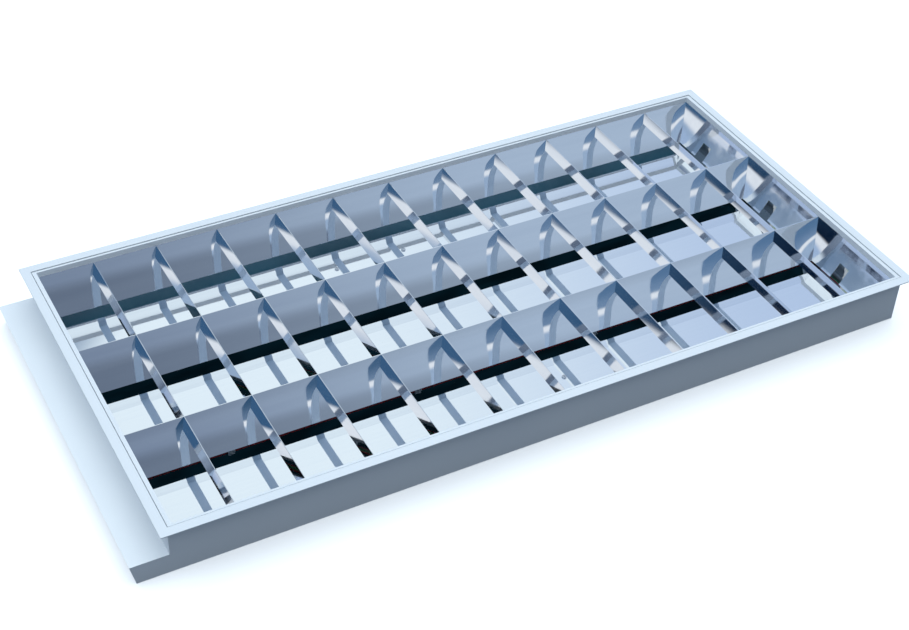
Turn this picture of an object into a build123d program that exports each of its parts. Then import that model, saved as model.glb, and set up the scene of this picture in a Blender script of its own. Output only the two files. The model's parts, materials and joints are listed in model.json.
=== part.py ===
from build123d import *
import os

# Recessed troffer light for three tubes, lying on its back: X along the tubes, Z towards the room.
# All lengths are in millimetres. X is counted from the middle of the flange while modelling, and the
# finished pieces are moved so that the origin is the middle of the whole base.

# --- housing ---
module_length = 1195.0  # flange, along X
module_width = 595.0  # flange, along Y
housing_height = 80.0
flange_overhang = 13.0  # from the housing wall to the flange edge
flange_thickness = 1.6
sheet = 0.8
gear_reach = 40.0  # gear box past the flange edge
gear_height = 32.0
gear_lean = 7.0  # how far the gear box end leans in at its foot
fixing_spacing_x = 900.0
fixing_spacing_y = 188.0
fixing_hole_r = 3.0

# --- louvre ---
middle_bay_width = 188.0  # between the two ridge lines
ridge_width = 1.0
exit_z = 70.0  # plane of the ridges and blade edges
louvre_depth = 54.0
opening_half_width = 56.5  # lamp side opening of a bay
wall_sag = 2.8  # bow of a reflector wall
reflector_skin = 0.8  # measured upright
long_rail_gap = 1.5  # frame rail to housing wall
end_rail_gap = 1.2
rail_sheet = 0.6
long_rail_width = 3.5
end_rail_width = 6.0
rail_top_drop = 1.0  # rail top below the flange face
long_rail_depth = 25.0
end_rail_depth = 23.0
inner_lip_depth = 13.0
fit = 0.15  # between parts of the louvre
blade_count = 11
end_cell = 86.5  # last blade to the end rail
blade_height = 15.2
blade_edge = 0.9
blade_foot = 12.3
blade_wall = 0.3
blade_tip = 0.5
right_end_run = 28.7  # how far an end reflector curves in
left_end_run = 11.0
end_sag = 3.0
end_skin = 0.6
tube_notch_width = 22.0
tube_notch_top = 38.0

# --- base reflectors ---
base_width = 144.0
base_top = 4.0
base_sheet = 0.5
base_end_gap = 1.0  # base reflector to holder
post_r = 4.0
post_bore_r = 1.6
post_floor = 0.6  # left under the bore
screw_tip_gap = 0.2
screw_shank_r = 1.55
screw_hole_r = 2.2
screw_head_r = 3.5
screw_head_height = 2.0
base_end_screw = 8.0  # in from the end of the strip
front_screw_x = [55.0]
back_screw_x = [-135.0, -19.0]

# --- lampholders ---
tube_z = 27.0
holder_depth = 7.9
holder_width = 22.0
bracket_height = 44.0
bracket_foot = 8.7
rotor_r = 6.45
rotor_gap = 0.05  # running clearance
rotor_depth = 3.1
rotor_slot = 2.8
rotor_slot_depth = 2.3
entry_slot = 3.2

# --- hinge and snap springs ---
hinge_inset = 1.8  # pin axis in from the rail's outer face
hinge_drop = 2.1  # pin axis under the rail's top
pin_r = 1.0
pin_gap = 0.05
pin_length = 7.1
pin_bush_width = 3.9
pin_bush_height = 4.0
spring_x = 300.0
spring_width = 20.0
spring_leaf = 0.4
spring_half_height = 6.0
spring_z = 70.0
spring_bulge = 1.1

# --- control gear ---
ballast_length = 360.0
ballast_width = 40.0
ballast_height = 22.0
ballast_gap = 3.0  # ballast to the housing wall line
tab_length = 12.0
tab_width = 9.0
tab_thickness = 1.5
port_z = 13.0
port_pitch = 4.0
port_first = 5.5  # first port in from the ballast's outer side
plug_length = 12.0
plug_height = 10.0
stud_r = 1.95
stud_top = 7.5
nut_bore_r = 2.05
nut_flats = 7.0
nut_height = 3.0
earth_inset = 10.5
earth_y = 230.0
terminal_gap = 36.0  # ballast to terminal block
terminal_length = 28.0
terminal_width = 20.0
terminal_height = 17.2
clamp_r = 1.6
clamp_well_r = 1.8
clamp_length = 3.0
bush_inset = 29.5
bush_z = 14.0
bush_bore_r = 5.0
bush_neck_r = 8.0
bush_lip_r = 10.0
bush_lip = 2.0

# --- wires ---
wire_r = 1.1
over_z = 26.0  # wires over the ballast
channel_z = 24.0  # wires under the ridges
turn_out = 20.0  # from the ballast end to the upward turn
turn_r = 6.4
lane_pitch = 4.0
lane_first = 6.5  # from a ridge line to the outermost lane
near_lane = 2.0  # wires beside a holder's centre line
near_lane_pitch = 5.0
bend_r = 7.0
slope_start = 10.7  # from the housing wall
slope_run = 17.0
slope_r = 25.0
end_run = 2.8  # wires beside a holder, behind its face
end_lane_pitch = 3.5
clip_x = [-430.0, -140.0, 160.0, 460.0]
clip_length = 10.0
clip_wall = 2.0
clip_gap = 0.3
clip_arm_top = 26.5
slot_margin = 1.2

half_length = module_length / 2
half_width = module_width / 2
wall_x = half_length - flange_overhang
wall_y = half_width - flange_overhang
inner_x = wall_x - sheet
inner_y = wall_y - sheet
flange_z = housing_height - flange_thickness
origin_shift = gear_reach / 2
rail_x = inner_x - end_rail_gap
rail_y = inner_y - long_rail_gap
rail_top = housing_height - rail_top_drop
optic_x = rail_x - end_rail_width
optic_y = rail_y - long_rail_width
foot_z = exit_z - louvre_depth
ridge_y = middle_bay_width / 2
outer_bay_y = (ridge_y + optic_y) / 2
bays = {"front": -outer_bay_y, "middle": 0.0, "back": outer_bay_y}
blade_pitch = 2 * (optic_x - end_cell) / (blade_count - 1)
holder_face_x = inner_x - sheet - holder_depth
base_half_length = holder_face_x - base_end_gap
base_end_screw_x = base_half_length - base_end_screw
hinge_y = rail_y - hinge_inset
hinge_z = rail_top - hinge_drop
ballast_end = ballast_length / 2
ballast_inner_x = -wall_x - ballast_gap
ballast_outer_x = ballast_inner_x - ballast_width
port_first_x = ballast_outer_x + port_first
terminal_y = ballast_end + terminal_gap
earth_x = -wall_x - earth_inset
bush_x = -wall_x - bush_inset
slope_start_x = -inner_x + slope_start
slope_end_x = slope_start_x + slope_run
end_run_x = holder_face_x + end_run
deck_z = sheet  # top of the back panel


def block(x0, x1, y0, y1, z0, z1):
    """Box between two corners."""
    return Pos((x0 + x1) / 2, (y0 + y1) / 2, (z0 + z1) / 2) * Box(x1 - x0, y1 - y0, z1 - z0)


def rod(radius, start, end):
    """Round bar between two points."""
    run = Vector(*end) - Vector(*start)
    return extrude(Plane(origin=start, z_dir=run) * Circle(radius), run.length)


def prism_y(points, y0, y1):
    """XZ outline carried along Y."""
    outline = make_face(Polyline(*[(x, y0, z) for x, z in points], close=True))
    return extrude(outline, amount=y1 - y0, dir=(0, 1, 0))


def prism_x(edges, x0, x1):
    """Closed loop of edges in the plane x = x0, carried along X."""
    return extrude(make_face(edges), amount=x1 - x0, dir=(1, 0, 0))


def sag_point(start, end, sag):
    """Middle of an arc that bows away from the bay, given in its own plane."""
    run = end[0] - start[0]
    drop = end[1] - start[1]
    chord = (run ** 2 + drop ** 2) ** 0.5
    side = 1 if run < 0 else -1
    return ((start[0] + end[0]) / 2 - side * sag * drop / chord,
            (start[1] + end[1]) / 2 - sag * abs(run) / chord)


def wall_arc(x, y_exit, y_foot, lower=0.0):
    """Curve of one reflector wall from the exit edge down to the lamp side."""
    middle = sag_point((y_exit, exit_z), (y_foot, foot_z), wall_sag)
    points = [(y_exit, exit_z), middle, (y_foot, foot_z)]
    return ThreePointArc(*[(x, y, z - lower) for y, z in points])


def bay_edges(bay):
    """Exit edge positions of a bay."""
    if bay == "middle":
        return -ridge_y + ridge_width / 2, ridge_y - ridge_width / 2
    if bay == "front":
        return -optic_y + fit, -ridge_y - ridge_width / 2
    return ridge_y + ridge_width / 2, optic_y - fit


def bay_space(bay):
    """The open trough of a bay, a little inside its walls."""
    low, high = bay_edges(bay)
    centre = bays[bay]
    left = wall_arc(-optic_x, low + fit, centre - opening_half_width + fit)
    right = wall_arc(-optic_x, high - fit, centre + opening_half_width - fit)
    top = Line(left @ 0, right @ 0)
    foot = Line(left @ 1, right @ 1)
    return prism_x([left, foot, right, top], -optic_x, optic_x)


def gear_end_x(z):
    """Outer face of the leaning gear box end at a height."""
    return -half_length - gear_reach + gear_lean * (1 - z / gear_height)


# ---------------------------------------------------------------- housing
def flange_strip(corner_x, corner_y, along_x):
    """One mitred flange, from the housing wall out to the edge."""
    width = flange_overhang + sheet
    side_x = 1 if corner_x > 0 else -1
    side_y = 1 if corner_y > 0 else -1
    if along_x:
        points = [(-half_length, corner_y), (half_length, corner_y),
                  (half_length - width, corner_y - side_y * width),
                  (-half_length + width, corner_y - side_y * width)]
    else:
        points = [(corner_x, -half_width), (corner_x, half_width),
                  (corner_x - side_x * width, half_width - width),
                  (corner_x - side_x * width, -half_width + width)]
    outline = make_face(Polyline(*[(x, y, flange_z) for x, y in points], close=True))
    return extrude(outline, amount=flange_thickness, dir=(0, 0, 1))


def housing_tray():
    panel = block(gear_end_x(0), wall_x, -wall_y, wall_y, 0, sheet)
    for x in (-fixing_spacing_x / 2, fixing_spacing_x / 2):
        for y in (-fixing_spacing_y / 2, fixing_spacing_y / 2):
            panel -= rod(fixing_hole_r, (x, y, -1), (x, y, sheet + 1))
    lid_z = gear_height - sheet
    outline = [(gear_end_x(sheet) + sheet * 1.1, sheet), (wall_x, sheet), (wall_x, flange_z),
               (-wall_x, flange_z), (-wall_x, lid_z), (gear_end_x(lid_z) + sheet * 1.1, lid_z)]
    front_wall = prism_y(outline, -wall_y, -inner_y)
    back_wall = prism_y(outline, inner_y, wall_y)
    back_wall -= rod(bush_neck_r, (bush_x, inner_y - 1, bush_z), (bush_x, wall_y + 1, bush_z))
    tray = panel + front_wall + back_wall
    tray += flange_strip(half_length, -half_width, True)
    tray += flange_strip(half_length, half_width, True)
    return tray


def end_plate(side):
    foot = gear_height - sheet if side < 0 else sheet
    low, high = sorted((side * wall_x, side * inner_x))
    plate = block(low, high, -inner_y, inner_y, foot, flange_z)
    plate += flange_strip(side * half_length, half_width, False)
    hole_r = pin_r + 0.02
    return plate - rod(hole_r, (low - 1, hinge_y, hinge_z), (high + 1, hinge_y, hinge_z))


def gear_box_cover():
    lid_z = gear_height - sheet
    skin = sheet * 1.1
    outline = [(gear_end_x(sheet), sheet), (gear_end_x(gear_height), gear_height),
               (-wall_x, gear_height), (-wall_x, lid_z), (gear_end_x(lid_z) + skin, lid_z),
               (gear_end_x(sheet) + skin, sheet)]
    return prism_y(outline, -wall_y, wall_y)


# ---------------------------------------------------------------- base reflectors
def screw_places(bay):
    centres = {"front": front_screw_x, "middle": [], "back": back_screw_x}[bay]
    return [-base_end_screw_x] + centres + [base_end_screw_x]


def base_reflector(bay):
    y = bays[bay]
    outer = block(-base_half_length, base_half_length, y - base_width / 2, y + base_width / 2,
                  deck_z, base_top)
    hollow = block(-base_half_length - 1, base_half_length + 1, y - base_width / 2 + base_sheet,
                   y + base_width / 2 - base_sheet, deck_z - 1, base_top - base_sheet)
    strip = outer - hollow
    for x in screw_places(bay):
        strip -= rod(screw_hole_r, (x, y, deck_z), (x, y, base_top + 1))
    return strip


def base_screw(x, y):
    head = Pos(x, y, base_top + screw_head_height / 2) * Cylinder(screw_head_r, screw_head_height)
    head = fillet(head.edges().group_by(Axis.Z)[-1], screw_head_height * 0.4)
    recess = Pos(x, y, base_top + screw_head_height) * (Box(4.0, 0.9, 1.6) + Box(0.9, 4.0, 1.6))
    tip = deck_z + post_floor + screw_tip_gap
    shank = rod(screw_shank_r, (x, y, tip), (x, y, base_top + screw_head_height / 4))
    return head - recess + shank


def panel_post(x, y):
    """Low threaded boss that a base reflector rests on."""
    top = base_top - base_sheet
    bore = rod(post_bore_r, (x, y, deck_z + post_floor), (x, y, top + 1))
    return rod(post_r, (x, y, deck_z), (x, y, top)) - bore


# ---------------------------------------------------------------- lampholders
def lampholder(side, y):
    """Push-and-turn holder: the tube's pins drop in from the top and the rotor turns them."""
    near = side * holder_face_x
    half = holder_width / 2
    base = deck_z + sheet
    corner = [(near, y - half, tube_z), (near, y - half, base), (near, y + half, base),
              (near, y + half, tube_z)]
    sides = Polyline(*corner)
    crown = ThreePointArc((near, y + half, tube_z), (near, y, tube_z + half), (near, y - half, tube_z))
    body = extrude(make_face([*sides.edges(), crown]), amount=holder_depth, dir=(side, 0, 0))
    depth = rotor_depth + 0.1
    body -= rod(rotor_r + rotor_gap, (near, y, tube_z), (near + side * depth, y, tube_z))
    low, high = sorted((near, near + side * depth))
    body -= block(low, high, y - entry_slot / 2, y + entry_slot / 2, tube_z, tube_z + half + 1)
    low, high = sorted((near, near + side * 1.5))
    for step in (-half, half - 2.0):
        body -= block(low, high, y + step, y + step + 2.0, base + 4, tube_z - 8)
    return body


def rotor(side, y):
    near = side * holder_face_x
    disc = rod(rotor_r, (near, y, tube_z), (near + side * rotor_depth, y, tube_z))
    low, high = sorted((near, near + side * rotor_slot_depth))
    return disc - block(low, high, y - rotor_slot / 2, y + rotor_slot / 2, tube_z - rotor_r, tube_z + rotor_r)


def holder_bracket(side):
    back = side * inner_x
    low, high = sorted((back, back - side * sheet))
    wall = block(low, high, -inner_y, inner_y, deck_z, bracket_height)
    low, high = sorted((back, back - side * bracket_foot))
    bracket = wall + block(low, high, -inner_y, inner_y, deck_z, deck_z + sheet)
    if side > 0:
        return bracket
    margin = wire_r + slot_margin
    slots = [(min(right_lanes) - margin, max(right_lanes) + margin, over_z) for right_lanes in lane_groups()]
    slots += [(min(lanes) - margin, max(lanes) + margin, z) for lanes, z in left_lane_groups()]
    for y0, y1, z in slots:
        bracket -= block(low - 1, high + 1, y0, y1, z - margin, z + margin)
    return bracket


# ---------------------------------------------------------------- control gear
def ballast():
    case = block(ballast_outer_x, ballast_inner_x, -ballast_end, ballast_end, deck_z, deck_z + ballast_height)
    case = fillet(case.edges().filter_by(Axis.Y).group_by(Axis.Z)[-1], 2.0)
    for side in (-1, 1):
        low, high = sorted((side * ballast_end, side * (ballast_end - plug_length)))
        case -= block(*plug_span(), low, high, *plug_rise())
        low, high = sorted((side * (ballast_end - 1), side * (ballast_end + tab_length)))
        tab = block(tab_x() - tab_width / 2, tab_x() + tab_width / 2, low, high, deck_z, deck_z + tab_thickness)
        y = side * (ballast_end + tab_length / 2)
        case += tab - rod(stud_r + 0.2, (tab_x(), y, 0), (tab_x(), y, 5))
    return case


def tab_x():
    return (ballast_outer_x + ballast_inner_x) / 2


def plug_span():
    return port_first_x - 2.5, port_first_x + 7 * port_pitch + 2.5


def plug_rise():
    return port_z - plug_height / 2, port_z + plug_height / 2


def ballast_terminals():
    """A row of wire ports at each end, flush with the case."""
    rows = []
    for side in (-1, 1):
        low, high = sorted((side * ballast_end, side * (ballast_end - plug_length)))
        row = block(*plug_span(), low, high, *plug_rise())
        for port in range(8):
            x = port_first_x + port * port_pitch
            low, high = sorted((side * ballast_end, side * (ballast_end - 1.5)))
            row -= block(x - 0.8, x + 0.8, low, high, port_z + 2.2, port_z + 3.8)
        rows.append(row)
    return rows


def port_x(index):
    return port_first_x + index * port_pitch


def panel_studs():
    places = [(tab_x(), side * (ballast_end + tab_length / 2)) for side in (-1, 1)]
    places.append((earth_x, earth_y))
    studs = [rod(stud_r, (x, y, deck_z), (x, y, stud_top)) for x, y in places]
    for bay, y in bays.items():
        studs += [panel_post(x, y) for x in screw_places(bay)]
    return studs


def stud_nuts():
    seats = [(tab_x(), side * (ballast_end + tab_length / 2), deck_z + tab_thickness) for side in (-1, 1)]
    seats.append((earth_x, earth_y, deck_z))
    nuts = []
    for x, y, z in seats:
        hexagon = RegularPolygon(nut_flats / 2, 6, major_radius=False)
        nut = extrude(Pos(x, y, z) * hexagon, nut_height)
        nuts.append(nut - rod(nut_bore_r, (x, y, z - 1), (x, y, z + nut_height + 1)))
    return nuts


def terminal_ports():
    return [port_x(index) for index in (1, 2, 3)]


def terminal_block():
    middle = terminal_ports()[1]
    body = block(middle - terminal_width / 2, middle + terminal_width / 2, terminal_y,
                 terminal_y + terminal_length, deck_z, deck_z + terminal_height)
    top = deck_z + terminal_height
    for x, y in clamp_places():
        body -= rod(clamp_well_r, (x, y, top - clamp_length - 1.5), (x, y, top + 1))
    return body


def clamp_places():
    middle = terminal_ports()[1]
    return [(middle + step * (terminal_width - 4) / 3, terminal_y + terminal_length / 2) for step in (-1, 0, 1)]


def terminal_screws():
    base = deck_z + terminal_height - clamp_length - 1.5
    screws = []
    for x, y in clamp_places():
        head = rod(clamp_r, (x, y, base), (x, y, base + clamp_length))
        screws.append(head - block(x - clamp_r, x + clamp_r, y - 0.3, y + 0.3, base + clamp_length - 0.8,
                                   base + clamp_length + 1))
    return screws


def cable_bush():
    bush = rod(bush_lip_r, (bush_x, inner_y - bush_lip, bush_z), (bush_x, inner_y, bush_z))
    bush += rod(bush_neck_r, (bush_x, inner_y, bush_z), (bush_x, wall_y, bush_z))
    bush += rod(bush_lip_r, (bush_x, wall_y, bush_z), (bush_x, wall_y + bush_lip, bush_z))
    return bush - rod(bush_bore_r, (bush_x, inner_y - 5, bush_z), (bush_x, wall_y + 5, bush_z))


# ---------------------------------------------------------------- wires
def lane_y(port):
    """Place under the front ridge of the wire from a port; the back ridge mirrors it."""
    return -ridge_y - lane_first + lane_pitch * (5 - port)


def lane_groups():
    front = [lane_y(port) for port in (2, 3, 4, 5)]
    back = [-lane_y(port) for port in (4, 5)]
    return [front, back]


def left_lane_groups():
    """Where the wires of the left holders pass the bracket."""
    near = [near_lane_y(port) for port in (6, 7)]
    return [(near, port_z), ([-y for y in near], port_z), ([middle_lane_y(port) for port in (0, 1)], over_z)]


def near_lane_y(port):
    """Beside the holder's centre line, and clear of the ballast's end by a wire's bend."""
    first = max(-bays["front"] + near_lane, ballast_end + bend_r + wire_r)
    return -first - (7 - port) * near_lane_pitch


def middle_lane_y(port):
    return 2 - 4 * port


def wire(points, radii):
    route = FilletPolyline(*points, radius=radii)
    return sweep(Plane(origin=route @ 0, z_dir=route % 0) * Circle(wire_r), path=route)


def over_ballast(port, side, y):
    """Out of a port, up, and back over the ballast to a place along it."""
    x = port_x(port)
    out = side * (ballast_end + turn_out)
    return [(x, side * ballast_end, port_z), (x, out, port_z), (x, out, over_z), (x, y, over_z)]


def right_wire(port, side, holder_y):
    """Along a ridge to a holder at the right end."""
    y = lane_y(port) * -side
    start = over_ballast(port, side, y)
    toward = 1 if holder_y > y else -1
    nearer = port in (5, 2)
    x = end_run_x if nearer else end_run_x + end_lane_pitch
    route = start + [(slope_start_x, y, over_z), (slope_end_x, y, channel_z), (x, y, channel_z),
                     (x, holder_y - toward * holder_width / 2, channel_z)]
    radii = [turn_r, turn_r, bend_r, slope_r, slope_r, bend_r]
    return wire(route, radii)


def near_left_wire(port, side):
    x = port_x(port)
    y = near_lane_y(port) * -side
    route = [(x, side * ballast_end, port_z), (x, y, port_z), (-inner_x + sheet, y, port_z)]
    return wire(route, [bend_r])


def middle_left_wire(port):
    y = middle_lane_y(port)
    route = over_ballast(port, -1, y) + [(-inner_x + sheet, y, over_z)]
    return wire(route, [turn_r, turn_r, bend_r * 2])


def wires_red():
    return [right_wire(5, -1, bays["front"]), right_wire(2, -1, bays["middle"]), right_wire(5, 1, bays["back"])]


def wires_green():
    return [right_wire(4, -1, bays["front"]), right_wire(3, -1, bays["middle"]), right_wire(4, 1, bays["back"])]


def wires_grey():
    return [near_left_wire(6, -1), middle_left_wire(0), near_left_wire(6, 1)]


def wires_blue():
    return [near_left_wire(7, -1), middle_left_wire(1), near_left_wire(7, 1)]


def mains_wires():
    return [rod(wire_r, (x, ballast_end, port_z), (x, terminal_y, port_z)) for x in terminal_ports()]


def wire_clips():
    """Open saddles that keep the wires at their height under the ridges."""
    clips = []
    for lanes in lane_groups():
        low = min(lanes) - wire_r - clip_gap
        high = max(lanes) + wire_r + clip_gap
        for x in clip_x:
            saddle = block(x - clip_length / 2, x + clip_length / 2, low - clip_wall, high + clip_wall,
                           deck_z, clip_arm_top)
            saddle -= block(x - clip_length, x + clip_length, low, high, channel_z - wire_r - clip_gap,
                            clip_arm_top + 1)
            saddle -= block(x - clip_length, x + clip_length, low, high, deck_z + 1.5,
                            channel_z - wire_r - clip_gap - 1.5)
            clips.append(saddle)
    return clips


# ---------------------------------------------------------------- louvre
def long_rail(side):
    outer = side * rail_y
    inner = side * optic_y
    low, high = sorted((outer, inner))
    channel = block(-optic_x, optic_x, low, high, rail_top - long_rail_depth, rail_top)
    low, high = sorted((outer - side * rail_sheet, inner + side * rail_sheet))
    channel -= block(-optic_x - 1, optic_x + 1, low, high, 0, rail_top - rail_sheet)
    low, high = sorted((inner, inner + side * rail_sheet * 1.5))
    return channel - block(-optic_x - 1, optic_x + 1, low, high, 0, rail_top - inner_lip_depth)


def end_rail(side):
    outer = side * rail_x
    inner = side * optic_x
    low, high = sorted((outer, inner))
    channel = block(low, high, -rail_y, rail_y, rail_top - end_rail_depth, rail_top)
    low, high = sorted((outer - side * rail_sheet, inner + side * rail_sheet))
    channel -= block(low, high, -rail_y - 1, rail_y + 1, 0, rail_top - rail_sheet)
    low, high = sorted((inner, inner + side * rail_sheet * 1.5))
    channel -= block(low, high, -rail_y - 1, rail_y + 1, 0, rail_top - inner_lip_depth)
    reach = side * (rail_x + 1)
    return channel - rod(pin_r + 0.3, (inner + side * 2, hinge_y, hinge_z), (reach, hinge_y, hinge_z))


def border_reflector(side):
    low, high = bay_edges("back")
    outer = wall_arc(-optic_x + fit, high, bays["back"] + opening_half_width)
    inner = wall_arc(-optic_x + fit, high, bays["back"] + opening_half_width, reflector_skin)
    skin = prism_x([outer, Line(outer @ 1, inner @ 1), inner, Line(inner @ 0, outer @ 0)],
                   -optic_x + fit, optic_x - fit)
    return skin if side > 0 else mirror(skin, about=Plane.XZ)


def ridge_region(lower):
    """Everything under the two walls that meet at the back ridge."""
    x = -optic_x + fit
    down = wall_arc(x, ridge_y - ridge_width / 2, opening_half_width, lower)
    up = wall_arc(x, ridge_y + ridge_width / 2, bays["back"] - opening_half_width, lower)
    return prism_x([down, Line(down @ 0, up @ 0), up, Line(down @ 1, up @ 1)], x, optic_x - fit)


def ridge_reflector(side):
    skin = ridge_region(0) - ridge_region(reflector_skin)
    return skin if side > 0 else mirror(skin, about=Plane.XZ)


def end_reflectors(side):
    """One curved sheet per bay, notched for the tube."""
    run = right_end_run if side > 0 else left_end_run
    top = side * (optic_x - fit - end_skin)
    start = (top, exit_z)
    end = (top - side * run, foot_z)
    middle = sag_point(start, end, end_sag)
    points = [(x, -optic_y, z) for x, z in (start, middle, end)]
    inner = ThreePointArc(*points)
    outer = ThreePointArc(*[(x + side * end_skin, y, z) for x, y, z in points])
    face = make_face([inner, Line(inner @ 1, outer @ 1), outer, Line(outer @ 0, inner @ 0)])
    sheet_all = extrude(face, amount=2 * optic_y, dir=(0, 1, 0))
    pieces = []
    for bay, y in bays.items():
        notch = block(-wall_x, wall_x, y - tube_notch_width / 2, y + tube_notch_width / 2, 0, tube_notch_top)
        pieces += ((sheet_all & bay_space(bay)) - notch).solids()
    return pieces


def cross_blade(x):
    """Folded V with its edge towards the room, one length per bay."""
    foot = exit_z - blade_height
    outline = [(x - blade_edge / 2, exit_z), (x + blade_edge / 2, exit_z), (x + blade_foot / 2, foot),
               (x + blade_foot / 2 - blade_wall, foot), (x, exit_z - blade_tip),
               (x - blade_foot / 2 + blade_wall, foot), (x - blade_foot / 2, foot)]
    fold = prism_y(outline, -optic_y, optic_y)
    pieces = []
    for bay in bays:
        pieces += (fold & bay_space(bay)).solids()
    return pieces


def hinge_bushes():
    bushes = []
    for side in (-1, 1):
        low, high = sorted((side * (optic_x + rail_sheet), side * (rail_x - rail_sheet)))
        top = rail_top - rail_sheet
        outer = rail_y - rail_sheet
        body = block(low, high, outer - pin_bush_width, outer, top - pin_bush_height, top)
        bushes.append(body - rod(pin_r + pin_gap, (low - 1, hinge_y, hinge_z), (high + 1, hinge_y, hinge_z)))
    return bushes


def hinge_pins():
    return [rod(pin_r, (side * (wall_x - pin_length), hinge_y, hinge_z), (side * wall_x, hinge_y, hinge_z))
            for side in (-1, 1)]


def snap_springs():
    """Bowed leaves on the front rail that press on the housing wall."""
    springs = []
    for x in (-spring_x, spring_x):
        low = (x - spring_width / 2, -rail_y, spring_z - spring_half_height)
        high = (x - spring_width / 2, -rail_y, spring_z + spring_half_height)
        crest = (low[0], -rail_y - spring_bulge, spring_z)
        under = (low[0], -rail_y - spring_bulge + spring_leaf, spring_z)
        low_in = (low[0], -rail_y, low[2] + spring_leaf * 3)
        high_in = (low[0], -rail_y, high[2] - spring_leaf * 3)
        loop = [ThreePointArc(low, crest, high), Line(high, high_in), ThreePointArc(high_in, under, low_in),
                Line(low_in, low)]
        springs.append(prism_x(loop, low[0], low[0] + spring_width))
    return springs


parts = {
    "housing_tray": housing_tray(),
    "end_plate_left": end_plate(-1),
    "end_plate_right": end_plate(1),
    "gear_box_cover": gear_box_cover(),
    "holder_bracket_left": holder_bracket(-1),
    "holder_bracket_right": holder_bracket(1),
    "panel_studs": panel_studs(),
    "stud_nuts": stud_nuts(),
    "ballast": ballast(),
    "ballast_terminals": ballast_terminals(),
    "terminal_block": terminal_block(),
    "terminal_screws": terminal_screws(),
    "cable_bush": cable_bush(),
    "wires_red": wires_red(),
    "wires_green": wires_green(),
    "wires_grey": wires_grey(),
    "wires_blue": wires_blue(),
    "mains_wires": mains_wires(),
    "wire_clips": wire_clips(),
    "hinge_pins": hinge_pins(),
    "louvre_rail_front": long_rail(-1),
    "louvre_rail_back": long_rail(1),
    "louvre_rail_left": end_rail(-1),
    "louvre_rail_right": end_rail(1),
    "border_reflector_front": border_reflector(-1),
    "border_reflector_back": border_reflector(1),
    "ridge_reflector_front": ridge_reflector(-1),
    "ridge_reflector_back": ridge_reflector(1),
    "end_reflectors_left": end_reflectors(-1),
    "end_reflectors_right": end_reflectors(1),
    "hinge_bushes": hinge_bushes(),
    "snap_springs": snap_springs(),
}
parts["base_screws"] = [base_screw(x, y) for bay, y in bays.items() for x in screw_places(bay)]
for bay, y in bays.items():
    parts[f"base_reflector_{bay}"] = base_reflector(bay)
    for side, end in ((-1, "left"), (1, "right")):
        parts[f"lampholder_{bay}_{end}"] = lampholder(side, y)
        parts[f"rotor_{bay}_{end}"] = rotor(side, y)
for index in range(blade_count):
    blade_x = (index - (blade_count - 1) / 2) * blade_pitch
    parts[f"cross_blade_{index + 1:02d}"] = cross_blade(blade_x)

os.makedirs("parts", exist_ok=True)
for name, shape in parts.items():
    solids = shape if isinstance(shape, list) else shape.solids()
    placed = [Pos(origin_shift, 0, 0) * solid for solid in solids]
    export_step(placed[0] if len(placed) == 1 else Compound(children=placed), f"parts/{name}.step")
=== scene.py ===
import json
import math

import bmesh
import bpy
from mathutils import Matrix, Vector


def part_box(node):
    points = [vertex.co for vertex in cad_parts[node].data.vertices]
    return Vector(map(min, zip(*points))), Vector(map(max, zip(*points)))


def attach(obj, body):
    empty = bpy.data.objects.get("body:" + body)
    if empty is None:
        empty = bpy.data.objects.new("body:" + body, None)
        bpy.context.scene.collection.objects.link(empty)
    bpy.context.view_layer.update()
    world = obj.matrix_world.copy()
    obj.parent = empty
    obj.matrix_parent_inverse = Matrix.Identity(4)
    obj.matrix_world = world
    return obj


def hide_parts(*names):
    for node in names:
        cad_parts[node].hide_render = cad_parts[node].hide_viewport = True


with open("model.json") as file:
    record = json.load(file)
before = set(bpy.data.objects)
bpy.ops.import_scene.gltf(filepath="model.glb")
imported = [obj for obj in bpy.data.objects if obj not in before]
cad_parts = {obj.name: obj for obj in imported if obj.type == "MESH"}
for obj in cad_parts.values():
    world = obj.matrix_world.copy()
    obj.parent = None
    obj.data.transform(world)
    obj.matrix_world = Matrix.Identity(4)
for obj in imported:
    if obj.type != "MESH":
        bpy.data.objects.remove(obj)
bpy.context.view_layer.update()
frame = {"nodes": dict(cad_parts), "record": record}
nodes = frame["nodes"]
print("frame loaded:", len(nodes), "nodes")


camera = {
    "azimuth": -29.82,    # degrees, 0 looks along +Y
    "elevation": 39.43,
    "roll": 2.736,
    "distance": 2.4396,
    "target": (-0.0240, -0.0303, 0.040),
    "focal": 1648.1,      # in pixels of the picture
    "pictureWidth": 909,
    "sensorWidth": 36.0,
    "farthest": 50.0,
}


def placeCamera(settings):
    turn, rise, roll = (math.radians(settings[name]) for name in ("azimuth", "elevation", "roll"))
    back = Vector((math.sin(turn) * math.cos(rise), -math.cos(turn) * math.cos(rise), math.sin(rise)))
    right = (-back).cross(Vector((0, 0, 1))).normalized()
    up = right.cross(-back)
    rolledRight = right * math.cos(roll) + up * math.sin(roll)
    rolledUp = up * math.cos(roll) - right * math.sin(roll)
    data = bpy.data.cameras.new("photoCamera")
    data.sensor_fit = "HORIZONTAL"
    data.sensor_width = settings["sensorWidth"]
    data.lens = settings["focal"] * data.sensor_width / settings["pictureWidth"]
    data.clip_end = settings["farthest"]
    cameraObject = bpy.data.objects.new("photoCamera", data)
    bpy.context.scene.collection.objects.link(cameraObject)
    axes = Matrix((rolledRight, rolledUp, back)).transposed()
    place = Vector(settings["target"]) + back * settings["distance"]
    cameraObject.matrix_world = Matrix.Translation(place) @ axes.to_4x4()
    bpy.context.scene.camera = cameraObject


placeCamera(camera)
print("camera placed")


def newMaterial(name):
    material = bpy.data.materials.new(name)
    material.use_nodes = True
    tree = material.node_tree
    return material, tree, tree.nodes["Principled BSDF"]


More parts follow.
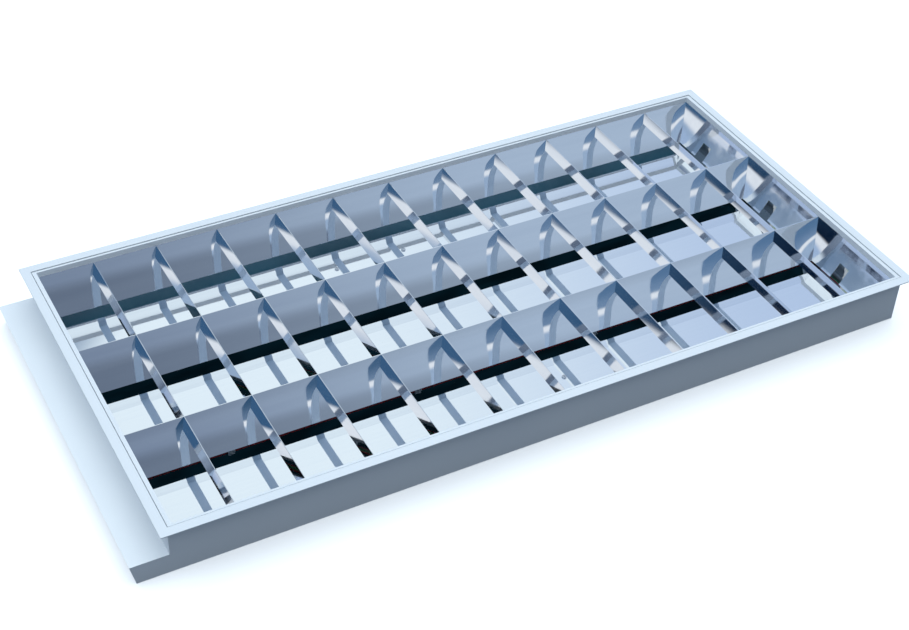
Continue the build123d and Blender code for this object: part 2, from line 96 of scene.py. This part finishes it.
def mathNode(tree, operation, first, second):
    node = tree.nodes.new("ShaderNodeMath")
    node.operation = operation
    for slot, value in enumerate((first, second)):
        if hasattr(value, "links"):
            tree.links.new(value, node.inputs[slot])
        else:
            node.inputs[slot].default_value = value
    return node.outputs[0]


def mapRange(tree, value, low, high, toLow=0.0, toHigh=1.0):
    node = tree.nodes.new("ShaderNodeMapRange")
    node.interpolation_type = "SMOOTHSTEP"
    tree.links.new(value, node.inputs["Value"])
    for name, number in (("From Min", low), ("From Max", high), ("To Min", toLow), ("To Max", toHigh)):
        node.inputs[name].default_value = number
    return node.outputs["Result"]


def mixColour(tree, factor, first, second):
    node = tree.nodes.new("ShaderNodeMix")
    node.data_type = "RGBA"
    sockets = [socket for socket in node.inputs if socket.type == "RGBA"]
    tree.links.new(factor, node.inputs[0])
    for socket, value in zip(sockets, (first, second)):
        if hasattr(value, "links"):
            tree.links.new(value, socket)
        else:
            socket.default_value = (*value, 1.0)
    return next(socket for socket in node.outputs if socket.type == "RGBA")


def shade(tree, value, edges, first, second):
    return mixColour(tree, mapRange(tree, value, *edges), first, second)


def slanted(tree, height, sideways, slope):
    return mathNode(tree, "ADD", height, mathNode(tree, "MULTIPLY", sideways, slope))


# the studio: soft panels that the mirrors see; edges are parts of a ray's direction, from -1 to 1
farPanels = {                           # across from the camera
    "bright": (0.80, 0.92, 1.00),
    "brightRight": (0.47, 0.60, 0.82),
    "rightEdges": (0.30, 0.58),
    "dim": (0.26, 0.36, 0.50),          # low down
    "dimEdges": (-0.06, 0.08),
    "navy": (0.035, 0.090, 0.21),       # just left of the middle
    "pale": (0.40, 0.54, 0.76),         # well to the left
    "paleEdges": (-0.56, -0.16),
    "topEdges": (0.74, 0.80),
    "panelEdges": (0.77, 0.80),
    "panelSlope": 0.80,
    "horizon": (0.008, 0.022, 0.055),
    "horizonEdges": (0.42, 0.10),
    "horizonRight": (0.64, 0.56),
}
bladePanels = {                         # behind the camera to the left, seen by way of the blades
    "lean": 20.5,                       # degrees, as the blades' faces lean
    "navy": (0.008, 0.055, 0.130),
    "blue": (0.105, 0.21, 0.37),
    "blueEdges": (-0.56, -0.14),
    "haze": (0.37, 0.50, 0.68),
    "hazeEdges": (0.08, 0.40, 0.0, 0.42),
    "spot": (0.90, 0.95, 1.00),
    "spotStart": (0.33, 0.37),
    "spotEnd": (0.40, 0.45),
    "crossNavy": (0.052, 0.13, 0.255),  # what a blade shows by way of the far wall
    "crossEdges": (-0.44, -0.50),
    "crossSlope": -0.3,
    "crossSpotStart": (0.68, 0.72),
    "crossSpotEnd": (0.76, 0.83),
    "black": (0.003, 0.012, 0.035),     # what the right end reflectors show
    "blackEdges": (-0.74, -0.82),
    "cornerSlope": 0.6,
    "cornerSpotStart": (0.03, 0.07),
    "cornerSpotEnd": (0.62, 0.68),
    "cornerEdges": (-0.63, -0.67),
    "cornerBack": (-0.56, -0.50),
}
wallPanels = {                          # behind the camera to the right, seen in the walls
    "greyStart": (0.200, 0.262, 0.370),
    "grey": (0.41, 0.52, 0.67),
    "greyEdges": (0.14, 0.46),
    "swell": (-0.05, 0.28, 0.74, 1.05),
    "fade": (0.12, 0.34, 1.0, 0.66),
    "fadeSlope": -0.7,
    "horizon": (0.008, 0.022, 0.055),
    "horizonEdges": (-0.08, 0.01),
    "lamp": (0.90, 0.95, 1.00),
    "lampSide": (0.66, 0.72),
    "lampHeight": (0.40, 0.48),
}
joins = {"sides": (0.10, 0.16), "frontBack": (-0.10, 0.08)}
paintLight = {
    "low": (0.34, 0.52, 0.80),          # on painted faces from the sides
    "high": (0.84, 0.95, 1.02),         # on painted faces from above
    "heightEdges": (0.0, 0.9),
    "strength": (0.09, 1.72),
    "frontBack": (-1.0, 1.0, 0.55, 1.45),
}


def farSide(tree, settings, x, z):
    bright = shade(tree, x, settings["rightEdges"], settings["bright"], settings["brightRight"])
    low = shade(tree, x, settings["paleEdges"], settings["pale"], settings["navy"])
    low = shade(tree, x, settings["dimEdges"], low, settings["dim"])
    low = shade(tree, z, settings["topEdges"], low, bright)
    far = shade(tree, slanted(tree, z, x, settings["panelSlope"]), settings["panelEdges"], low, bright)
    ground = mathNode(tree, "MULTIPLY", mapRange(tree, z, *settings["horizonEdges"]),
                      mapRange(tree, x, *settings["horizonRight"]))
    return mixColour(tree, ground, far, settings["horizon"])


def bladeSide(tree, settings, x, y, z):
    turned = math.radians(2 * settings["lean"])
    leanX = mathNode(tree, "SUBTRACT", mathNode(tree, "MULTIPLY", x, math.cos(turned)),
                     mathNode(tree, "MULTIPLY", z, math.sin(turned)))
    leanZ = mathNode(tree, "ADD", mathNode(tree, "MULTIPLY", z, math.cos(turned)),
                     mathNode(tree, "MULTIPLY", x, math.sin(turned)))
    left = shade(tree, leanX, settings["blueEdges"], settings["blue"], settings["navy"])
    left = shade(tree, leanZ, settings["hazeEdges"], left, settings["haze"])
    left = shade(tree, leanZ, settings["spotStart"], left, settings["spot"])
    left = shade(tree, leanZ, settings["spotEnd"], left, settings["haze"])
    across = slanted(tree, z, x, settings["crossSlope"])
    cross = shade(tree, across, settings["crossSpotStart"], settings["crossNavy"], settings["spot"])
    cross = shade(tree, across, settings["crossSpotEnd"], cross, settings["haze"])
    left = shade(tree, x, settings["crossEdges"], left, cross)
    deep = shade(tree, x, settings["blackEdges"], settings["crossNavy"], settings["black"])
    climb = slanted(tree, z, x, settings["cornerSlope"])
    corner = shade(tree, climb, settings["cornerSpotStart"], deep, settings["spot"])
    corner = shade(tree, z, settings["cornerSpotEnd"], corner, settings["haze"])
    atCorner = mathNode(tree, "MULTIPLY", mapRange(tree, x, *settings["cornerEdges"]),
                        mapRange(tree, y, *settings["cornerBack"]))
    return mixColour(tree, atCorner, left, corner)


def wallSide(tree, settings, x, z):
    right = shade(tree, x, settings["greyEdges"], settings["greyStart"], settings["grey"])
    fade = mapRange(tree, slanted(tree, z, x, settings["fadeSlope"]), *settings["fade"])
    swell = mathNode(tree, "MULTIPLY", mapRange(tree, z, *settings["swell"]), fade)
    right = mixColour(tree, swell, (0.0, 0.0, 0.0), right)
    right = shade(tree, z, settings["horizonEdges"], settings["horizon"], right)
    lamp = mathNode(tree, "MULTIPLY", mapRange(tree, x, *settings["lampSide"]),
                    mapRange(tree, z, *settings["lampHeight"]))
    return mixColour(tree, lamp, right, settings["lamp"])


def background(tree):
    return tree.nodes.new("ShaderNodeBackground")


def chooseBy(tree, rays, otherwise, chosen):
    node = tree.nodes.new("ShaderNodeMixShader")
    tree.links.new(rays, node.inputs[0])
    tree.links.new(otherwise.outputs[0], node.inputs[1])
    tree.links.new(chosen.outputs[0], node.inputs[2])
    return node


def makeStudio():
    world = bpy.data.worlds.new("studio")
    bpy.context.scene.world = world
    world.use_nodes = True
    tree = world.node_tree
    tree.nodes.clear()
    coordinates = tree.nodes.new("ShaderNodeTexCoord")
    split = tree.nodes.new("ShaderNodeSeparateXYZ")
    tree.links.new(coordinates.outputs["Generated"], split.inputs[0])
    x, y, z = split.outputs
    left = bladeSide(tree, bladePanels, x, y, z)
    near = shade(tree, x, joins["sides"], left, wallSide(tree, wallPanels, x, z))
    seen = shade(tree, y, joins["frontBack"], near, farSide(tree, farPanels, x, z))
    panels = background(tree)
    tree.links.new(seen, panels.inputs["Color"])
    # paint and plastic get an even light, mirrors see the panels
    evenLight = background(tree)
    tint = shade(tree, z, paintLight["heightEdges"], paintLight["low"], paintLight["high"])
    tree.links.new(tint, evenLight.inputs["Color"])
    level = mathNode(tree, "MULTIPLY", mapRange(tree, z, *paintLight["heightEdges"], *paintLight["strength"]),
                     mapRange(tree, y, *paintLight["frontBack"]))
    tree.links.new(level, evenLight.inputs["Strength"])
    plain = background(tree)            # what the camera sees past the floor
    plain.inputs["Color"].default_value = (1, 1, 1, 1)
    path = tree.nodes.new("ShaderNodeLightPath")
    light = chooseBy(tree, path.outputs["Is Diffuse Ray"], panels, evenLight)
    light = chooseBy(tree, path.outputs["Is Camera Ray"], light, plain)
    output = tree.nodes.new("ShaderNodeOutputWorld")
    tree.links.new(light.outputs[0], output.inputs["Surface"])


makeStudio()
bpy.context.scene.view_settings.view_transform = "Standard"
bpy.context.scene.view_settings.look = "None"
print("studio made")


floor = {
    "size": 14.0,
    "seen": (0.97, 0.975, 0.98),
    "bounce": (0.10, 0.12, 0.15),       # what it throws back at the object
    "roughness": 0.9,
    "glow": 0.30,
}


def makeFloor(settings):
    shape = bmesh.new()
    bmesh.ops.create_grid(shape, x_segments=1, y_segments=1, size=settings["size"] / 2)
    mesh = bpy.data.meshes.new("floor")
    shape.to_mesh(mesh)
    shape.free()
    floorObject = bpy.data.objects.new("floor", mesh)
    bpy.context.scene.collection.objects.link(floorObject)
    material, tree, principled = newMaterial("paleFloor")
    path = tree.nodes.new("ShaderNodeLightPath")
    colour = mixColour(tree, path.outputs["Is Camera Ray"], settings["bounce"], settings["seen"])
    tree.links.new(colour, principled.inputs["Base Color"])
    principled.inputs["Roughness"].default_value = settings["roughness"]
    principled.inputs["Specular IOR Level"].default_value = 0.0
    glow = mixColour(tree, path.outputs["Is Camera Ray"], (0, 0, 0), (1, 1, 1))
    tree.links.new(glow, principled.inputs["Emission Color"])
    principled.inputs["Emission Strength"].default_value = settings["glow"]
    mesh.materials.append(material)


makeFloor(floor)
print("floor made")


def newGroup(name, inputs, output, kind):
    tree = bpy.data.node_groups.new(name, "ShaderNodeTree")
    for label, socket in inputs:
        tree.interface.new_socket(name=label, in_out="INPUT", socket_type=socket)
    tree.interface.new_socket(name=output, in_out="OUTPUT", socket_type=kind)
    return tree, tree.nodes.new("NodeGroupInput"), tree.nodes.new("NodeGroupOutput")


def makeSoftNoise():
    sockets = [("Scale", "NodeSocketFloat"), ("Detail", "NodeSocketFloat"), ("Stretch", "NodeSocketVector")]
    tree, given, result = newGroup("softNoise", sockets, "Mask", "NodeSocketFloat")
    coordinates = tree.nodes.new("ShaderNodeTexCoord")
    mapping = tree.nodes.new("ShaderNodeMapping")
    cloud = tree.nodes.new("ShaderNodeTexNoise")
    tree.links.new(coordinates.outputs["Object"], mapping.inputs["Vector"])
    tree.links.new(given.outputs["Stretch"], mapping.inputs["Scale"])
    tree.links.new(mapping.outputs[0], cloud.inputs["Vector"])
    tree.links.new(given.outputs["Scale"], cloud.inputs["Scale"])
    tree.links.new(given.outputs["Detail"], cloud.inputs["Detail"])
    tree.links.new(cloud.outputs["Fac"], result.inputs["Mask"])
    return tree


def makeGrain():
    sockets = [("Scale", "NodeSocketFloat"), ("Strength", "NodeSocketFloat"), ("Depth", "NodeSocketFloat")]
    tree, given, result = newGroup("fineGrain", sockets, "Normal", "NodeSocketVector")
    coordinates = tree.nodes.new("ShaderNodeTexCoord")
    cloud = tree.nodes.new("ShaderNodeTexNoise")
    relief = tree.nodes.new("ShaderNodeBump")
    tree.links.new(coordinates.outputs["Object"], cloud.inputs["Vector"])
    tree.links.new(given.outputs["Scale"], cloud.inputs["Scale"])
    tree.links.new(cloud.outputs["Fac"], relief.inputs["Height"])
    tree.links.new(given.outputs["Strength"], relief.inputs["Strength"])
    tree.links.new(given.outputs["Depth"], relief.inputs["Distance"])
    tree.links.new(relief.outputs["Normal"], result.inputs["Normal"])
    return tree


softNoise = makeSoftNoise()
fineGrain = makeGrain()


def noise(tree, scale, detail=2.0, stretch=(1, 1, 1)):
    node = tree.nodes.new("ShaderNodeGroup")
    node.node_tree = softNoise
    node.inputs["Scale"].default_value = scale
    node.inputs["Detail"].default_value = detail
    node.inputs["Stretch"].default_value = stretch
    return node.outputs["Mask"]


def grain(tree, settings):
    node = tree.nodes.new("ShaderNodeGroup")
    node.node_tree = fineGrain
    for label, value in zip(("Scale", "Strength", "Depth"), settings):
        node.inputs[label].default_value = value
    return node.outputs["Normal"]


noiseMiddle = (0.3, 0.7)                # most of a noise lies between these
cloudDetail = 3.0
streakDetail = 4.0


def paint(name, dark, pale, roughness=0.42, scale=6.0, relief=(900.0, 0.12, 0.0004)):
    material, tree, principled = newMaterial(name)
    cloud = noise(tree, scale, cloudDetail)
    tree.links.new(mixColour(tree, cloud, dark, pale), principled.inputs["Base Color"])
    principled.inputs["Roughness"].default_value = roughness
    tree.links.new(grain(tree, relief), principled.inputs["Normal"])
    return material


def metal(name, dark, pale, roughLow, roughHigh, stretch=(1, 1, 1), scale=60.0):
    material, tree, principled = newMaterial(name)
    streak = noise(tree, scale, streakDetail, stretch)
    tree.links.new(mixColour(tree, streak, dark, pale), principled.inputs["Base Color"])
    rough = mapRange(tree, streak, *noiseMiddle, roughLow, roughHigh)
    tree.links.new(rough, principled.inputs["Roughness"])
    principled.inputs["Metallic"].default_value = 1.0
    return material


mirror = {
    "dark": (0.80, 0.82, 0.86),
    "pale": (0.93, 0.94, 0.95),
    "roughness": (0.03, 0.07),
    "streakScale": 22.0,
}
wallSheet = {
    "streak": (0.15, 3, 3),             # drawn out along the trough
    "backEdges": (-0.15, -0.35),        # faces that look down are the sheet's back, which gets painted shade
    # painted shade: a near-black base colour on the sheet's back, for the cavity under the ridges that lies
    # in shade
    "paintedBackShade": (0.006, 0.018, 0.024),
    # painted glow: a teal emission on the sheet's back, standing in for light in the cavity under the ridges
    "paintedTealGlow": (0.012, 0.070, 0.115),
    "paintedGlowAcross": (0.11, 0.19, 0.10, 1.0),  # metres across, and its strength at both
    # the patchy strength of the painted glow
    "cloud": (0.35, 0.65, 0.55, 1.25),
    "cloudScale": 9.0,
    "cloudStretch": (1, 6, 1),
    "paintedEndGlow": (0.12, 0.18, 0.25),      # painted glow behind the end reflectors, standing in for light from the lamp holders
    "endEdges": (0.3, 0.6),
}
bladeSheet = {
    "streak": (3, 0.15, 3),             # drawn out along the blade
    "footEdges": (-0.5, -0.9),          # faces that look down
    "footRoughness": 0.55,
    # painted glow on the faces that look down, so that their edge matches the lit walls
    "paintedFootGlow": (0.045, 0.085, 0.14),
}


def polished(name, settings, streak):
    material = metal(name, settings["dark"], settings["pale"], *settings["roughness"], streak,
                     settings["streakScale"])
    tree = material.node_tree
    coordinates = tree.nodes.new("ShaderNodeTexCoord")
    facing = tree.nodes.new("ShaderNodeSeparateXYZ")
    tree.links.new(coordinates.outputs["Normal"], facing.inputs[0])
    return material, tree, tree.nodes["Principled BSDF"], facing.outputs


def wallMirror(name, settings):
    material, tree, principled, facing = polished(name, mirror, settings["streak"])
    # faces that look down get painted shade as base colour and a painted glow as emission
    back = mapRange(tree, facing[2], *settings["backEdges"])
    coordinates = tree.nodes.new("ShaderNodeTexCoord")
    place = tree.nodes.new("ShaderNodeSeparateXYZ")
    tree.links.new(coordinates.outputs["Object"], place.inputs[0])
    across = mapRange(tree, place.outputs[1], *settings["paintedGlowAcross"])
    atEnd = mathNode(tree, "MULTIPLY", back, mapRange(tree, facing[0], *settings["endEdges"]))
    cloud = noise(tree, settings["cloudScale"], cloudDetail, settings["cloudStretch"])
    cloud = mapRange(tree, cloud, *settings["cloud"])
    # painted glow on the back, in teal, with patchy strength
    glow = mathNode(tree, "MULTIPLY", mathNode(tree, "MULTIPLY", back, across), cloud)
    bare = principled.inputs["Base Color"].links[0].from_socket
    # painted shade: the down-facing back takes a near-black base colour
    tree.links.new(mixColour(tree, back, bare, settings["paintedBackShade"]), principled.inputs["Base Color"])
    paintedTealGlow = mixColour(tree, glow, (0, 0, 0), settings["paintedTealGlow"])
    # painted glow near the end reflectors, in grey
    tree.links.new(mixColour(tree, atEnd, paintedTealGlow, settings["paintedEndGlow"]), principled.inputs["Emission Color"])
    principled.inputs["Emission Strength"].default_value = 1.0
    return material


def bladeMirror(name, settings):
    material, tree, principled, facing = polished(name, mirror, settings["streak"])
    foot = mapRange(tree, facing[2], *settings["footEdges"])
    polish = principled.inputs["Roughness"].links[0].from_socket
    satin = mathNode(tree, "MULTIPLY", foot, settings["footRoughness"])
    tree.links.new(mathNode(tree, "MAXIMUM", polish, satin), principled.inputs["Roughness"])
    # painted glow on the blades' down-facing faces
    glow = mixColour(tree, foot, (0, 0, 0), settings["paintedFootGlow"])
    tree.links.new(glow, principled.inputs["Emission Color"])
    principled.inputs["Emission Strength"].default_value = 1.0
    return material


moulded = {
    "cloudScale": 40.0,
    "speckScale": 300.0,
    "spread": 0.06,                     # of the roughness
    "relief": (1500.0, 0.1, 0.0002),
}


def plastic(name, dark, pale, roughness=0.4, glow=0.0, settings=moulded):
    material, tree, principled = newMaterial(name)
    cloud = noise(tree, settings["cloudScale"], cloudDetail)
    tree.links.new(mixColour(tree, cloud, dark, pale), principled.inputs["Base Color"])
    speck = noise(tree, settings["speckScale"])
    spread = settings["spread"]
    rough = mapRange(tree, speck, *noiseMiddle, roughness - spread, roughness + spread)
    tree.links.new(rough, principled.inputs["Roughness"])
    tree.links.new(grain(tree, settings["relief"]), principled.inputs["Normal"])
    # glow is painted light: an emission in the pale colour
    principled.inputs["Emission Color"].default_value = (*pale, 1)
    principled.inputs["Emission Strength"].default_value = glow
    return material


finishes = {
    "white_paint": paint("whitePaint", (0.80, 0.83, 0.86), (0.86, 0.88, 0.90)),
    "louvre_mirror": wallMirror("wallMirror", wallSheet),
    "base_mirror": metal("baseMirror", (0.88, 0.90, 0.93), (0.93, 0.94, 0.95), 0.02, 0.05, (0.2, 4, 4)),
    "bracket_steel": metal("bracketSteel", (0.50, 0.52, 0.55), (0.62, 0.64, 0.66), 0.25, 0.4),
    "bright_steel": metal("brightSteel", (0.60, 0.62, 0.66), (0.75, 0.77, 0.80), 0.12, 0.25),
    "spring_steel": metal("springSteel", (0.40, 0.41, 0.44), (0.55, 0.56, 0.58), 0.2, 0.3),
    # glow: painted light on the lamp holders and rotors, which are no lamps
    "holder_plastic": plastic("holderPlastic", (0.76, 0.77, 0.76), (0.83, 0.84, 0.83), glow=0.22),
    "rotor_plastic": plastic("rotorPlastic", (0.50, 0.60, 0.52), (0.58, 0.68, 0.60), glow=0.20),
    "ballast_case": plastic("ballastCase", (0.66, 0.68, 0.70), (0.72, 0.74, 0.76)),
    "terminal_plastic": plastic("terminalPlastic", (0.62, 0.64, 0.62), (0.70, 0.72, 0.70)),
    "clip_plastic": plastic("clipPlastic", (0.70, 0.72, 0.74), (0.78, 0.79, 0.80)),
    "bush_rubber": plastic("bushRubber", (0.02, 0.02, 0.022), (0.035, 0.035, 0.04), 0.7),
    "wire_red": plastic("wireRed", (0.45, 0.02, 0.03), (0.55, 0.03, 0.04)),
    "wire_green": plastic("wireGreen", (0.06, 0.30, 0.12), (0.09, 0.38, 0.16)),
    "wire_grey": plastic("wireGrey", (0.25, 0.26, 0.27), (0.33, 0.34, 0.35)),
    "wire_blue": plastic("wireBlue", (0.03, 0.09, 0.36), (0.05, 0.13, 0.45)),
    "wire_mains": plastic("wireMains", (0.18, 0.08, 0.04), (0.26, 0.12, 0.06)),
}
bladeFinish = bladeMirror("bladeMirror", bladeSheet)

slotOfNode = {entry["node"]: entry["material_slot"] for entry in frame["record"]["subparts"]}
for name, node in nodes.items():
    node.data.materials.clear()
    node.data.materials.append(finishes[slotOfNode[name]])
print("finishes given")


trough = {                              # metres, the curved walls that the blades stand between
    "exitHeight": 0.070,
    "footHeight": 0.016,
    "bays": (-0.18635, 0.0, 0.18635),
    "ridge": 0.094,
    "ridgeWidth": 0.001,
    "border": 0.27855,
    "openingHalf": 0.0565,
    "sag": 0.0028,
    "fit": 0.00015,
}
blade = {
    "count": 11,
    "height": 0.0152,
    "edgeWidth": 0.0009,
    "footWidth": 0.0123,
    "rounding": 0.00018,
    "levels": 10,
    "sameHeight": 1e-6,
    "longEdge": 0.01,                   # only edges longer than this are rounded
}


def wallPlace(settings, exitY, footY, height):
    rise = settings["exitHeight"] - settings["footHeight"]
    run = exitY - footY
    chord = math.hypot(run, rise)
    radius = (chord * chord / 4 + settings["sag"] ** 2) / (2 * settings["sag"])
    side = 1 if run > 0 else -1
    reach = (radius - settings["sag"]) / chord
    centreY = (exitY + footY) / 2 - side * rise * reach
    centreZ = (settings["exitHeight"] + settings["footHeight"]) / 2 + abs(run) * reach
    return centreY + side * math.sqrt(max(radius * radius - (height - centreZ) ** 2, 0.0))


def bayEdges(settings):
    half = settings["ridgeWidth"] / 2
    return [(-settings["border"], -settings["ridge"] - half),
            (-settings["ridge"] + half, settings["ridge"] - half),
            (settings["ridge"] + half, settings["border"])]


def makeBlade(settings, walls, name):
    low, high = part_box(name)
    middle = (low[0] + high[0]) / 2
    top = walls["exitHeight"]
    whole = bmesh.new()
    for centre, (nearExit, farExit) in zip(walls["bays"], bayEdges(walls)):
        made = bmesh.ops.create_cube(whole, size=1.0)
        upright = {edge for vert in made["verts"] for edge in vert.link_edges
                   if abs(edge.verts[0].co.z - edge.verts[1].co.z) > 0.5}
        bmesh.ops.subdivide_edges(whole, edges=list(upright), cuts=settings["levels"], use_grid_fill=True)
        verts = [vert for vert in whole.verts if abs(vert.co.y) > 0.4]  # the new box, not yet in place
        for vert in verts:
            depth = 0.5 - vert.co.z     # 0 at the crest, 1 at the foot
            height = top - settings["height"] * depth
            width = settings["edgeWidth"] + (settings["footWidth"] - settings["edgeWidth"]) * depth
            nearY = wallPlace(walls, nearExit, centre - walls["openingHalf"], height) + walls["fit"]
            farY = wallPlace(walls, farExit, centre + walls["openingHalf"], height) - walls["fit"]
            vert.co = (middle + vert.co.x * width, nearY + (farY - nearY) * (vert.co.y + 0.5), height)
    crests = [edge for edge in whole.edges
              if all(vert.co.z > top - settings["sameHeight"] for vert in edge.verts)
              and abs(edge.verts[0].co.y - edge.verts[1].co.y) > settings["longEdge"]]
    bmesh.ops.bevel(whole, geom=crests, offset=settings["rounding"], offset_type="OFFSET", affect="EDGES",
                    segments=2, profile=0.5, material=-1)
    bmesh.ops.recalc_face_normals(whole, faces=whole.faces)
    mesh = bpy.data.meshes.new("dressed_" + name)
    whole.to_mesh(mesh)
    whole.free()
    mesh.materials.append(bladeFinish)
    piece = bpy.data.objects.new("dressed_" + name, mesh)
    bpy.context.scene.collection.objects.link(piece)
    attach(piece, "louvre")
    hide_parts(name)


for index in range(blade["count"]):
    makeBlade(blade, trough, f"cross_blade_{index + 1:02d}")
print("blades made")
